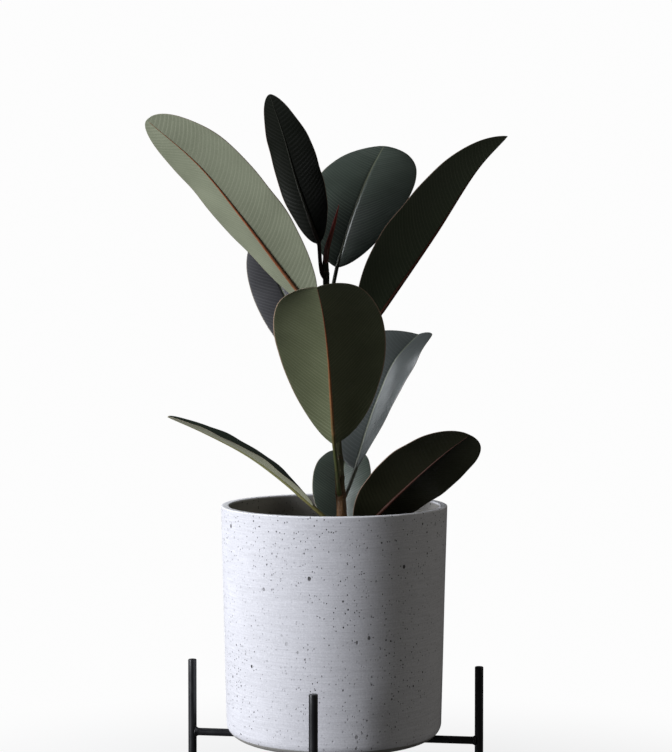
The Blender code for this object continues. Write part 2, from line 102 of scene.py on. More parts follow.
# The leaves. Heights are over the pot's base, and a "node" is the height where
# the stalk leaves the stem. "petiole" is points of the stalk, and "midrib" runs
# from the blade's base to its tip. "faces" is which way the upper side looks,
# and "folds" how many degrees the two halves rise from flat: at the base and at
# the tip, or one entry for both. "halves" is each half's share of "width", and
# "fullness" its outline's two powers, or one pair for both halves. "arch" is how
# many degrees a half curls over.
LEAVES = {
    "leaf_upper_left": {
        "node": 0.405,
        "petiole": [(-0.013, -0.02, 0.421)],
        "midrib": [(-0.025, -0.035, 0.453), (-0.057, -0.05, 0.495), (-0.092, -0.07, 0.541),
                   (-0.135, -0.09, 0.593), (-0.1858, -0.105, 0.637)],
        "faces": [(0.6, 0.6, 0.5), (0.5, 0.65, 0.6)],
        "width": 0.09, "halves": (1.0, 1.1), "folds": [(27, 17), (22, 7)],
        "fullness": ((0.5, 0.47), (0.5, 0.5)),
        "rib": "red", "blade": "pale", "seed": 1,
    },
    "leaf_top_centre": {
        "node": 0.484,
        "midrib": [(-0.016, 0.0, 0.52), (-0.027, 0.008, 0.55), (-0.04, 0.01, 0.588),
                   (-0.052, 0.0, 0.63), (-0.067, -0.02, 0.674)],
        "faces": [(0.6, 0.8, 0.0), (0.6, 0.8, 0.1)],
        "width": 0.062, "folds": [(16, 16), (6, 6)], "fullness": (0.6, 0.6),
        "rib": "shoot", "blade": "shoot", "seed": 2,
    },
    "leaf_top_back": {
        "node": 0.458,
        "midrib": [(0.003, 0.015, 0.495), (0.014, 0.038, 0.534), (0.026, 0.07, 0.57),
                   (0.04, 0.11, 0.605), (0.057, 0.155, 0.639)],
        "faces": [(0.0, -0.8, 0.5), (0.0, -0.8, 0.6)],
        "width": 0.112, "folds": [(4, 14), (-16, 6)], "fullness": (0.6, 0.42),
        "rib": "green", "blade": "grown", "seed": 3,
    },
    "leaf_upper_right": {
        "node": 0.375,
        "petiole": [(0.012, 0.0, 0.402)],
        "midrib": [(0.036, 0.0, 0.428), (0.06, 0.001, 0.462), (0.108, 0.01, 0.531),
                   (0.154, 0.02, 0.601), (0.186, 0.03, 0.636)],
        "faces": (-0.71, 0.52, 0.49),
        "width": 0.108, "folds": (31, 31), "fullness": ((0.6, 0.85), (0.5, 0.8)),
        "rib": "dark", "blade": "under_painted_shade", "seed": 4,
    },
    "leaf_left_back": {
        "node": 0.36,
        "midrib": [(-0.015, 0.01, 0.388), (-0.034, 0.03, 0.423), (-0.052, 0.05, 0.461),
                   (-0.068, 0.07, 0.496), (-0.082, 0.09, 0.534)],
        "faces": (0.0, -0.85, 0.5),
        "width": 0.07, "folds": (12, 5), "fullness": (0.55, 0.55),
        "rib": "green", "blade": "painted_grey_sheen", "seed": 5,
    },
    "leaf_front": {
        "node": 0.252,
        "petiole": [(0.003, -0.012, 0.281)],
        "midrib": [(0.0, -0.03, 0.309), (-0.003, -0.061, 0.357), (-0.006, -0.101, 0.404),
                   (-0.011, -0.145, 0.446), (-0.016, -0.18, 0.469)],
        "faces": (0.0, 0.8, 0.6),
        "width": 0.112, "halves": (1.14, 0.97), "folds": [(26, 24), (20, 6)],
        "fullness": ((0.55, 0.54), (0.66, 0.44)), "arch": 13,
        "rib": "orange", "blade": "deep", "seed": 6,
    },
    "leaf_middle_right": {
        "node": 0.248,
        "midrib": [(0.023, 0.02, 0.279), (0.033, 0.038, 0.312), (0.046, 0.06, 0.348),
                   (0.068, 0.095, 0.394), (0.096, 0.13, 0.423)],
        "faces": (-0.6, -0.6, 0.5),
        "width": 0.106, "halves": (1.18, 1.03), "folds": [(24, 26), (18, 11)],
        "fullness": ((0.6, 0.26), (0.65, 0.46)),
        "rib": "green", "blade": "painted_sheen", "seed": 7,
    },
    "leaf_lower_left": {
        "node": 0.215,
        "petiole": [(-0.008, -0.002, 0.228)],
        "midrib": [(-0.023, -0.005, 0.242), (-0.048, -0.009, 0.265), (-0.09, -0.012, 0.296),
                   (-0.136, -0.014, 0.32), (-0.175, -0.015, 0.337)],
        "faces": (0.35, 0.0, 0.9),
        "width": 0.086, "folds": [(13, 11), (9, 7)], "fullness": ((0.52, 0.42), (0.52, 0.48)),
        "rib": "olive", "blade": "light", "seed": 8,
    },
    "leaf_lower_right": {
        "node": 0.2,
        "midrib": [(0.029, -0.022, 0.216), (0.051, -0.036, 0.242), (0.086, -0.065, 0.279),
                   (0.115, -0.09, 0.307), (0.135, -0.11, 0.324)],
        "faces": (-0.2, 0.75, 0.5),
        "width": 0.086, "folds": [(10, 10), (0, 0)], "fullness": (0.5, 0.42),
        "rib": "dark", "blade": "under_painted_deep_shade", "seed": 9,
    },
    "leaf_lower_back": {
        "node": 0.2,
        "midrib": [(0.007, 0.028, 0.21), (0.006, 0.06, 0.229), (0.008, 0.095, 0.25),
                   (0.011, 0.135, 0.272), (0.015, 0.178, 0.288)],
        "faces": [(0.0, -0.4, 0.9), (0.0, -0.3, 0.9)],
        "width": 0.068, "folds": [(20, 20), (12, 12)], "fullness": (0.5, 0.5),
        "rib": "olive", "blade": "grown", "seed": 10,
    },
}


# ---- array helpers
def unit(vectors):
    """Each vector divided by its own length."""
    return vectors / np.linalg.norm(vectors, axis=-1, keepdims=True)


def smoothstep(low, high, value):
    """0 below low, 1 above high, and the cubic 3t^2 - 2t^3 between them."""
    t = np.clip((value - low) / (high - low), 0.0, 1.0)
    return t * t * (3.0 - 2.0 * t)


def smooth_path(points, shares):
    """Points at shares, 0 to 1, of the length of a smooth curve through points.

    Between neighbours the curve is a cubic whose end slopes are the mean of
    the two chords there, weighted by the square roots of their lengths.
    """
    points = np.asarray(points, float)
    chords = np.sqrt(np.linalg.norm(np.diff(points[:, :3], axis=0), axis=1))
    slopes = np.diff(points, axis=0) / chords[:, None]
    weights = (chords[:-1] / (chords[:-1] + chords[1:]))[:, None]
    inner = slopes[:-1] * (1.0 - weights) + slopes[1:] * weights
    tangents = np.vstack([slopes[:1], inner, slopes[-1:]])
    t = np.linspace(0.0, 1.0, 40, endpoint=False)[:, None]
    pieces = []
    for index, chord in enumerate(chords):
        pieces.append((2 * t**3 - 3 * t**2 + 1) * points[index]
                      + (3 * t**2 - 2 * t**3) * points[index + 1]
                      + (t**3 - 2 * t**2 + t) * chord * tangents[index]
                      + (t**3 - t**2) * chord * tangents[index + 1])
    fine = np.vstack(pieces + [points[-1:]])
    steps = np.linalg.norm(np.diff(fine[:, :3], axis=0), axis=1)
    run = np.concatenate([[0.0], np.cumsum(steps)])
    return np.stack([np.interp(shares * run[-1], run, column) for column in fine.T], axis=-1)


def waves(*phases_and_sizes):
    """A sum of sines: each item is (size, phase array)."""
    return sum(size * np.sin(phase) for size, phase in phases_and_sizes)


def ring_grid(points):
    """Vertices and quads of a grid (stations, ring, 3) closed round each ring.

    The first and last rings are fanned to their own centres.
    """
    stations, ring = points.shape[:2]
    row = np.arange(stations - 1)[:, None] * ring
    column = np.arange(ring)
    after = (column + 1) % ring
    quads = np.stack([row + column, row + after, row + ring + after, row + ring + column], axis=-1)
    verts = np.vstack([points.reshape(-1, 3), points[0].mean(0), points[-1].mean(0)])
    first, last = stations * ring, stations * ring + 1
    tail = (stations - 1) * ring
    return verts, [quads.reshape(-1, 4),
                   np.stack([np.full(ring, first), after, column], axis=-1),
                   np.stack([np.full(ring, last), tail + column, tail + after], axis=-1)]


def build_mesh(name, verts, faces, smooth=True):
    """A mesh object from arrays: verts (n, 3) and a list of (m, k) face arrays."""
    mesh = bpy.data.meshes.new(name)
    totals = np.concatenate([np.full(len(block), block.shape[1]) for block in faces])
    loops = np.concatenate([block.ravel() for block in faces])
    starts = np.concatenate([[0], np.cumsum(totals)[:-1]])
    mesh.vertices.add(len(verts))
    mesh.vertices.foreach_set("co", np.ascontiguousarray(verts, np.float32).ravel())
    mesh.loops.add(len(loops))
    mesh.loops.foreach_set("vertex_index", loops.astype(np.int32))
    mesh.polygons.add(len(totals))
    mesh.polygons.foreach_set("loop_start", starts.astype(np.int32))
    mesh.polygons.foreach_set("use_smooth", np.full(len(totals), smooth))
    mesh.update(calc_edges=True)
    mesh.validate()
    obj = bpy.data.objects.new(name, mesh)
    bpy.context.scene.collection.objects.link(obj)
    return obj


def flipped(faces):
    """The same faces wound the other way, for a grid that would look inward."""
    return [block[:, ::-1] for block in faces]


def full_turn(sides):
    """Angles of a ring's points, evenly spaced."""
    return np.linspace(0.0, 2 * math.pi, sides, endpoint=False)


def level_rings(path, radius, angle):
    """Level rings: a path's centre plus the radius times cosine and sine."""
    return np.stack([path[:, :1] + radius * np.cos(angle), path[:, 1:2] + radius * np.sin(angle),
                     path[:, 2:3] + POT_BASE_Z + 0.0 * angle], axis=-1)


def add_attribute(obj, name, grid):
    """A float on each grid point, which the materials read by name. The two end
    centres take the first and the last value."""
    values = np.append(grid, [grid[0, 0], grid[-1, -1]])
    attribute = obj.data.attributes.new(name, "FLOAT", "POINT")
    attribute.data.foreach_set("value", values.astype(np.float32))


def add_piece(name, verts, faces, slot, node, *materials, smooth=True):
    """A mesh object with its materials and body, which hides the node it stands for; slot is not
    used.
    """
    obj = build_mesh(name, verts, faces, smooth)
    for material in materials:
        obj.data.materials.append(material)
    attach(obj, "root")
    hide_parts(node)
    return obj


# ---- node helpers
class Nodes:
    """The node tree of a new material or world, with short calls to fill it."""

    def __init__(self, name, home=bpy.data.materials):
        self.owner = home.new(name)
        self.owner.use_nodes = True
        self.tree = self.owner.node_tree
        self.tree.nodes.clear()

    def feed(self, socket, value):
        """Link an output, or set a plain value, on an input socket."""
        if isinstance(value, bpy.types.NodeSocket):
            self.tree.links.new(value, socket)
        elif isinstance(value, tuple):
            socket.default_value = (*value, 1.0)[:len(socket.default_value)]
        else:
            socket.default_value = value

    def add(self, kind, settings=(), **values):
        """Add a node with its own settings and its inputs' values. Each keyword
        is an input's name with underscores."""
        node = self.tree.nodes.new(f"ShaderNode{kind}")
        for name, setting in settings:
            setattr(node, name, setting)
        for name, value in values.items():
            self.feed(node.inputs[name.replace("_", " ")], value)
        return node

    def add_in_order(self, kind, settings, places, output=0):
        """Add a node fed by (input number, value), and return one output."""
        node = self.add(kind, settings)
        for index, value in places:
            self.feed(node.inputs[index], value)
        return node.outputs[output]

    def attribute(self, name):
        """A float that the mesh carries."""
        return self.add("Attribute", [("attribute_name", name)]).outputs["Fac"]

    def place(self, scale=(1.0, 1.0, 1.0)):
        """Object coordinates stretched by scale."""
        own = self.add("TexCoord").outputs["Object"]
        return self.add("Mapping", Vector=own, Scale=scale).outputs["Vector"]

    def axes(self):
        """Object coordinates as separate X, Y and Z."""
        return self.add("SeparateXYZ", Vector=self.place()).outputs

    def noise(self, scale, detail=4.0, roughness=0.5, stretch=(1.0, 1.0, 1.0)):
        """Soft random clouds, 0 to 1."""
        return self.add("TexNoise", Vector=self.place(stretch), Scale=scale, Detail=detail,
                        Roughness=roughness).outputs["Fac"]

    def cells(self, scale, feature="F1", stretch=(1.0, 1.0, 1.0)):
        """Random cells: their distance and colour outputs."""
        return self.add("TexVoronoi", [("feature", feature)], Vector=self.place(stretch),
                        Scale=scale).outputs

    def math(self, operation, *values):
        """A sum, product or other function of numbers."""
        return self.add_in_order("Math", [("operation", operation)], enumerate(values))

    def ramp(self, value, low, high, low_out=0.0, high_out=1.0, kind="SMOOTHSTEP"):
        """Map a range of value to another, clamped."""
        return self.add("MapRange", [("interpolation_type", kind)], Value=value, From_Min=low,
                        From_Max=high, To_Min=low_out, To_Max=high_out).outputs["Result"]

    def mix(self, factor, first, second):
        """Mix two colours."""
        places = ((0, factor), (6, first), (7, second))
        return self.add_in_order("Mix", [("data_type", "RGBA")], places, 2)

    def mix_shaders(self, factor, first, second):
        """Mix two shaders."""
        return self.add_in_order("MixShader", (), enumerate((factor, first, second)))

    def tint(self, colour, mask, share, other):
        """Carry a colour towards another, as far as share times mask."""
        return self.mix(self.math("MULTIPLY", mask, share), colour, other)

    def bump(self, height, strength, distance, normal=None):
        """Relief from a height, over the relief already there."""
        node = self.add("Bump", Strength=strength, Distance=distance, Height=height)
        if normal is not None:
            self.feed(node.inputs["Normal"], normal)
        return node.outputs["Normal"]

    def finish(self, colour, roughness, normal, **values):
        """Add the Principled shader and hand over the material."""
        shader = self.add("BsdfPrincipled", Base_Color=colour, Roughness=roughness,
                          Normal=normal, **values)
        self.add("OutputMaterial", Surface=shader.outputs[0])
        return self.owner

    def show(self, seen, unseen, output_kind):
        """Show one shader to the camera and another to every other ray."""
        ray = self.add("LightPath").outputs["Is Camera Ray"]
        self.add(output_kind, Surface=self.mix_shaders(ray, unseen, seen))
        return self.owner


def scaled(colour, factor):
    """A colour made lighter or darker."""
    return tuple(min(1.0, factor * channel) for channel in colour)


# ---- leaf materials
# For each kind of blade: upper colour, upper side-vein colour, underside
# colour, underside side-vein colour.
BLADES = {
    "pale": ((0.02, 0.036, 0.018), (0.05, 0.075, 0.036),
             (0.19, 0.207, 0.14), (0.37, 0.378, 0.28)),
    "grown": ((0.034, 0.047, 0.036), (0.165, 0.185, 0.16),
              (0.075, 0.088, 0.052), (0.12, 0.128, 0.08)),
    "light": ((0.02, 0.036, 0.018), (0.05, 0.075, 0.036),
              (0.27, 0.275, 0.195), (0.4, 0.395, 0.29)),
    "deep": ((0.018, 0.034, 0.016), (0.046, 0.07, 0.032),
             (0.092, 0.104, 0.054), (0.26, 0.275, 0.17)),
    # Painted sheen: the grey upper and upper-vein colours stand in for a reflection put into the
    # base colour.
    "painted_sheen": ((0.052, 0.06, 0.057), (0.135, 0.145, 0.142),
              (0.09, 0.104, 0.062), (0.14, 0.148, 0.092)),
    # Painted sheen: the pale grey upper and upper-vein colours stand in for a reflection put into
    # the base colour.
    "painted_grey_sheen": ((0.098, 0.098, 0.104), (0.185, 0.182, 0.19),
              (0.09, 0.104, 0.062), (0.14, 0.148, 0.092)),
    # Painted shade: the near-black underside colours stand in for the shade that this leaf's
    # underside lies in.
    "under_painted_deep_shade": ((0.014, 0.026, 0.014), (0.036, 0.054, 0.028),
              (0.015, 0.016, 0.008), (0.034, 0.03, 0.017)),
    # Painted shade: the dark underside colour stands in for the shade that this leaf's underside
    # lies in.
    "under_painted_shade": ((0.014, 0.024, 0.014), (0.034, 0.05, 0.028),
              (0.029, 0.039, 0.021), (0.115, 0.128, 0.085)),
    # Painted shade: the near-black underside colours stand in for shade on this leaf's underside.
    "shoot": ((0.012, 0.018, 0.01), (0.026, 0.034, 0.018),
              (0.005, 0.006, 0.004), (0.014, 0.015, 0.011)),
}
# For each kind of rib: its colour at the stem, along the blade and at the tip.
RIBS = {
    "red": ((0.115, 0.07, 0.028), (0.3, 0.092, 0.038), (0.27, 0.1, 0.045)),
    "shoot": ((0.02, 0.008, 0.006), (0.03, 0.032, 0.024), (0.036, 0.038, 0.03)),
    "orange": ((0.066, 0.076, 0.026), (0.24, 0.095, 0.036), (0.15, 0.034, 0.018)),
    "dark": ((0.036, 0.015, 0.009), (0.042, 0.013, 0.008), (0.034, 0.012, 0.008)),
    "olive": ((0.2, 0.18, 0.06), (0.21, 0.21, 0.095), (0.18, 0.15, 0.06)),
    "green": ((0.034, 0.038, 0.022), (0.115, 0.122, 0.088), (0.16, 0.155, 0.1)),
}


def side_vein_lines(nodes):
    """0 to 1: one bold line for each side vein, and finer ones between."""
    vein = nodes.attribute("vein")
    wobble = nodes.noise(34.0, 2.0)
    vein = nodes.math("ADD", vein, nodes.math("MULTIPLY", wobble, 0.35))
    bold = nodes.math("ABSOLUTE", nodes.math("SUBTRACT", nodes.math("FRACT", vein), 0.5))
    bold = nodes.ramp(bold, 0.15, 0.0)
    fine = nodes.add("TexNoise", [("noise_dimensions", "1D")], W=vein, Scale=4.2, Detail=3.0,
                     Roughness=0.6)
    fine = nodes.ramp(fine.outputs["Fac"], 0.52, 0.72)
    both = nodes.math("MAXIMUM", bold, nodes.math("MULTIPLY", fine, 0.6))
    faint = nodes.ramp(nodes.noise(11.0, 2.0), 0.25, 0.75, 0.35, 1.0)
    return nodes.math("MULTIPLY", both, faint)


def margin_line(nodes):
    """1 along the outermost strip of the blade."""
    return nodes.ramp(nodes.math("ABSOLUTE", nodes.attribute("across")), 0.975, 0.992)


def upper_leaf_material(kind):
    """Waxy dark green, with pale side veins and a pale groove over the rib. In two kinds the body
    colour is a paler grey: a painted sheen.
    """
    body, vein_colour, _, _ = BLADES[kind]
    nodes = Nodes(f"leaf_upper_{kind}")
    patches = nodes.noise(16.0, 3.0)
    colour = nodes.mix(patches, scaled(body, 0.72), scaled(body, 1.35))
    lines = side_vein_lines(nodes)
    colour = nodes.tint(colour, lines, 0.8, vein_colour)
    offset = nodes.math("ABSOLUTE", nodes.attribute("offset"))
    width = nodes.ramp(nodes.attribute("along"), 0.0, 1.0, 0.0016, 0.0006, "LINEAR")
    groove = nodes.ramp(nodes.math("DIVIDE", offset, width), 1.15, 0.55)
    colour = nodes.tint(colour, groove, 0.85, (0.15, 0.165, 0.11))
    colour = nodes.tint(colour, margin_line(nodes), 0.6, (0.235, 0.19, 0.12))
    dust = nodes.noise(60.0, 6.0, 0.65)
    roughness = nodes.ramp(dust, 0.3, 0.75, 0.3, 0.38)
    relief = nodes.bump(lines, 0.25, 0.00015)
    skin = nodes.cells(900.0)["Distance"]
    relief = nodes.bump(skin, 0.12, 0.00006, relief)
    return nodes.finish(colour, roughness, relief, Coat_Weight=0.1, Coat_Roughness=0.16)


def under_leaf_material(kind):
    """Matt grey green with raised side veins that catch the light. In three kinds the body colour is
    near black: painted shade.
    """
    _, _, body, vein_colour = BLADES[kind]
    nodes = Nodes(f"leaf_under_{kind}")
    patches = nodes.noise(22.0, 4.0, 0.6)
    deeper = scaled(body, 0.8)
    colour = nodes.mix(patches, deeper, scaled(body, 1.15))
    lines = side_vein_lines(nodes)
    colour = nodes.tint(colour, lines, 0.42, vein_colour)
    net = nodes.cells(520.0, "DISTANCE_TO_EDGE")["Distance"]
    net_line = nodes.ramp(net, 0.09, 0.0)
    colour = nodes.tint(colour, net_line, 0.1, vein_colour)
    speck = nodes.ramp(nodes.cells(330.0)["Distance"], 0.16, 0.08)
    colour = nodes.tint(colour, speck, 0.18, deeper)
    colour = nodes.tint(colour, margin_line(nodes), 0.7, (0.3, 0.2, 0.15))
    roughness = nodes.ramp(patches, 0.2, 0.8, 0.42, 0.56)
    relief = nodes.bump(lines, 0.22, 0.00015)
    relief = nodes.bump(net_line, 0.15, 0.00008, relief)
    sheen = {"shoot": 0.08, "under_painted_deep_shade": 0.15, "under_painted_shade": 0.2}.get(kind, 0.35)
    return nodes.finish(colour, roughness, relief, Specular_IOR_Level=sheen)


def rib_material(kind):
    """Stalk and midrib: colour runs from stem to tip, with fine length lines."""
    at_stem, along_blade, at_tip = RIBS[kind]
    nodes = Nodes(f"rib_{kind}")
    along = nodes.attribute("along")
    colour = nodes.mix(nodes.ramp(along, 0.22, 0.5), at_stem, along_blade)
    colour = nodes.mix(nodes.ramp(along, 0.55, 1.0), colour, at_tip)
    streaks = nodes.noise(420.0, 4.0, stretch=(1.0, 1.0, 0.25))
    colour = nodes.mix(nodes.ramp(streaks, 0.35, 0.7, 0.0, 0.35), colour, scaled(at_stem, 0.45))
    pale = nodes.noise(90.0, 3.0)
    colour = nodes.mix(nodes.ramp(pale, 0.55, 0.8, 0.0, 0.35), colour,
                       tuple(1.5 * channel + 0.02 for channel in along_blade))
    relief = nodes.bump(streaks, 0.25, 0.00015)
    sheen = {"dark": 0.12, "shoot": 0.2}.get(kind, 0.4)
    return nodes.finish(colour, nodes.ramp(pale, 0.2, 0.8, 0.34, 0.52), relief,
                        Specular_IOR_Level=sheen)


# ---- the leaves
def half_width(shape, along, side):
    """The width of one half of the blade at a share of its length.

    A beta curve, along^a (1 - along)^b, scaled to peak at half the leaf's
    width times that half's own share. Side 0 is the half across < 0.
    """
    base, tip = np.broadcast_to(shape["fullness"], (2, 2))[side]
    peak = base / (base + tip)
    outline = along**base * (1.0 - along)**tip / (peak**base * (1.0 - peak)**tip)
    widest = 0.5 * shape["width"] * shape.get("halves", (1, 1))[side]
    return np.maximum(widest * outline, BLADE_TIP_HALF_WIDTH)


def stem_at(height):
    """The stem's centre and radius at a height over the pot's base."""
    x, y, radius = (np.interp(height, STEM[:, 2], STEM[:, column]) for column in (0, 1, 3))
    return np.array([x, y, height]), radius


def leaf_axes(path, along, shape):
    """Sideways and upper-surface directions along a path: the upper side runs
    evenly from its direction at the base to the one at the tip."""
    base_face, tip_face = np.broadcast_to(shape["faces"], (2, 3))
    faces = base_face + along[:, None] * (tip_face - base_face)
    forward = unit(np.gradient(path, axis=0))
    sideways = unit(np.cross(forward, faces))
    return sideways, np.cross(sideways, forward)


def blade_shares(count):
    """Shares of the length, closer together towards both ends."""
    t = np.linspace(0.0, 1.0, count)
    return 0.35 * t + 0.65 * (0.5 - 0.5 * np.cos(math.pi * t))


def blade_lift(shape, along, across, offset):
    """How far the blade stands over its flat position, at each grid point.

    The sum of a slow wave that grows towards the margin, and a shallow ripple
    with one crest between each pair of side veins.
    """
    seed = shape["seed"]
    reach = np.sin(math.pi * along)**0.7
    side = np.where(across < 0.0, 0.0, 2.1)
    slow = waves((0.0007, 2 * math.pi * 2.6 * along + 1.7 * seed + side),
                 (0.0003, 2 * math.pi * 5.3 * along + 0.9 * seed - side))
    vein = vein_count(shape, along, offset)
    fade = smoothstep(0.02, 0.22, np.abs(across)) * smoothstep(1.0, 0.86, np.abs(across))
    ripple = -0.00016 * np.cos(2 * math.pi * vein) * fade
    return reach * (slow * across**2 + ripple)


def vein_count(shape, along, offset):
    """Number of side veins from the base: rises with the distance along the
    midrib, less a slant and a bend that grow with the distance from it."""
    out_mm = np.abs(offset) * 1000.0
    along_mm = along * shape["length"] * 1000.0
    return (along_mm - VEIN_SLANT * out_mm - VEIN_BEND * out_mm**2) / VEIN_PITCH_MM


def blade_points(shape, stations=170, columns=77):
    """The closed blade as a grid (station, ring, 3), and its surface values.

    Each ring runs over the upper face and back under it. A point is the
    midrib's, plus the integral over the half width of the cosine and the sine
    of a slope that falls from the midrib to the margin, plus half the
    thickness times the eighth-power round of the margin, less a bell-shaped
    groove over the midrib.
    """
    along = blade_shares(stations)
    path = smooth_path(shape["midrib"], along)
    sideways, normal = leaf_axes(path, along, shape)
    shape["length"] = np.linalg.norm(np.diff(path, axis=0), axis=1).sum()
    t = np.linspace(-1.0, 1.0, columns)
    spread = np.sign(t) * (0.45 * np.abs(t)**1.7 + 0.55 * np.sin(0.5 * math.pi * np.abs(t)))
    across = np.concatenate([spread, spread[-2:0:-1]])
    width = np.where(across[None, :] < 0.0, half_width(shape, along, 0)[:, None],
                     half_width(shape, along, 1)[:, None])
    face = np.concatenate([np.ones(columns), -np.ones(columns - 2)])

    base_folds, tip_folds = np.radians(np.broadcast_to(shape["folds"], (2, 2)))
    folds = base_folds + along[:, None] * (tip_folds - base_folds)
    fold = np.where(across[None, :] < 0.0, folds[:, :1], folds[:, 1:])
    arch = math.radians(shape.get("arch", BLADE_ARCH))
    reach = np.linspace(0.0, 1.0, 16)
    slope = fold[..., None] + arch * (1.0 - 2.0 * np.abs(across)[None, :, None] * reach)
    run = np.cos(slope).mean(-1) * across
    rise = np.sin(slope).mean(-1) * np.abs(across)
    offset = across[None, :] * width
    rise = rise * width + blade_lift(shape, along[:, None], across[None, :], offset)

    edge = np.sqrt(np.clip(1.0 - np.abs(across)**8, 0.0, 1.0))
    half = 0.5 * BLADE_THICKNESS * smoothstep(-0.2, 0.12, width / 0.02) * edge
    groove = GROOVE_DEPTH * np.exp(-(offset / GROOVE_HALF_WIDTH)**2)
    groove = groove * smoothstep(0.0, 0.3, 1.0 - along)[:, None] * (face > 0.0)
    lift = rise + half * face - groove
    points = (path[:, None, :] + (run * width)[..., None] * sideways[:, None, :]
              + lift[..., None] * normal[:, None, :])
    values = {
        "along": np.broadcast_to(along[:, None], offset.shape),
        "across": np.broadcast_to(across[None, :], offset.shape),
        "offset": offset,
        "vein": vein_count(shape, along[:, None], offset),
    }
    return points, face, values


def rib_points(shape, petiole_stations=60, blade_stations=130, sides=20):
    """Stalk and midrib as one tapering tube (station, ring, 3).

    A round section carried from inside the stem to the blade and along its
    underside; its radius swells near the stem and falls as (1 - along)^1.15.
    """
    root, stem_radius = stem_at(shape["node"])
    on_the_way = [np.array(point) for point in [*shape.get("petiole", []), shape["midrib"][0]]]
    flat = unit(np.array([on_the_way[0][0] - root[0], on_the_way[0][1] - root[1], 0.0]))
    inside = root + 0.25 * stem_radius * flat
    out_and_up = unit(0.6 * flat + unit(on_the_way[0] - root))
    clear = root + (stem_radius + STALK_CLEARANCE) * out_and_up
    stalk = smooth_path([inside, clear] + on_the_way, np.linspace(0.0, 1.0, petiole_stations))
    shares = blade_shares(blade_stations) * 0.985
    rib = smooth_path(shape["midrib"], shares)
    path = np.vstack([stalk, rib[1:]])
    along = np.concatenate([np.zeros(petiole_stations), shares[1:]])
    sideways, normal = leaf_axes(path, along, shape)

    stalk_share = np.linspace(0.0, 1.0, petiole_stations)
    stalk_radius = PETIOLE_RADIUS * (1.0 + 0.45 * np.exp(-(stalk_share / 0.16)**2))
    rib_radius = (RIB_TIP_RADIUS
                  + (PETIOLE_RADIUS - RIB_TIP_RADIUS) * (1.0 - shares[1:])**1.15)
    radius = np.concatenate([stalk_radius, rib_radius])
    sink = np.concatenate([np.zeros(petiole_stations), smoothstep(0.0, 0.12, shares[1:])])
    path = path - normal * (sink * (0.35 * radius + 0.3 * BLADE_THICKNESS))[:, None]

    angle = full_turn(sides)
    keel = 1.0 + 0.1 * np.cos(angle + 0.5 * math.pi)
    across = (radius[:, None] * np.cos(angle))[..., None] * sideways[:, None, :]
    up = (radius[:, None] * keel * np.sin(angle))[..., None] * normal[:, None, :]
    points = path[:, None, :] + across + up
    total = np.concatenate([0.28 * stalk_share, 0.28 + 0.72 * shares[1:]])
    return points, np.broadcast_to(total[:, None], points.shape[:2])


def make_leaf(name, shape, materials):
    """One leaf: a closed blade with its two faces, and its rib and stalk."""
    lift = np.array([0.0, 0.0, POT_BASE_Z])
    points, face, values = blade_points(shape)
    verts, faces = ring_grid(points + lift)
    blade = add_piece(f"{name}_blade", verts, flipped(faces), "leaf", name,
                      materials["upper", shape["blade"]], materials["under", shape["blade"]])
    for key, grid in values.items():
        add_attribute(blade, key, grid)
    stations, ring = points.shape[:2]
    is_under = np.tile(np.minimum(face, np.roll(face, -1)) < 0.0, stations - 1)
    index = np.concatenate([is_under, np.zeros(2 * ring, bool)]).astype(np.int32)
    blade.data.polygons.foreach_set("material_index", index)

    points, along = rib_points(shape)
    verts, faces = ring_grid(points + lift)
    rib = add_piece(f"{name}_rib", verts, flipped(faces), "leaf", name,
                    materials["rib", shape["rib"]])
    add_attribute(rib, "along", along)


# ---- stem and bud
def stem_material():
    """Brown bark at the foot that turns green and then dark up the stem."""
    nodes = Nodes("stem_bark")
    wander = nodes.noise(60.0, 4.0, stretch=(1.0, 1.0, 0.3))
    level = nodes.math("ADD", nodes.axes()["Z"], nodes.math("MULTIPLY", wander, 0.05))
    bark = nodes.mix(nodes.noise(260.0, 5.0, 0.65, stretch=(1.0, 1.0, 0.22)),
                     (0.045, 0.022, 0.009), (0.185, 0.095, 0.038))
    green = nodes.mix(nodes.noise(120.0, 3.0),
                      (0.026, 0.028, 0.011), (0.062, 0.06, 0.026))
    dark = nodes.mix(nodes.noise(160.0, 3.0),
                     (0.01, 0.012, 0.007), (0.026, 0.028, 0.015))
    colour = nodes.mix(nodes.ramp(level, 0.44, 0.475), bark, green)
    colour = nodes.mix(nodes.ramp(level, 0.58, 0.68), colour, dark)
    dots = nodes.cells(300.0, stretch=(1.0, 1.0, 0.55))["Distance"]
    dot = nodes.ramp(dots, 0.22, 0.1)
    colour = nodes.tint(colour, dot, 0.35, (0.36, 0.29, 0.2))
    scar = nodes.attribute("scar")
    colour = nodes.tint(colour, scar, 0.75, (0.06, 0.026, 0.014))
    fissures = nodes.noise(520.0, 5.0, 0.7, stretch=(1.0, 1.0, 0.12))
    relief = nodes.bump(fissures, 0.5, 0.0005)
    relief = nodes.bump(dot, 0.35, 0.0002, relief)
    return nodes.finish(colour, nodes.ramp(wander, 0.2, 0.8, 0.5, 0.75), relief,
                        Specular_IOR_Level=0.25)


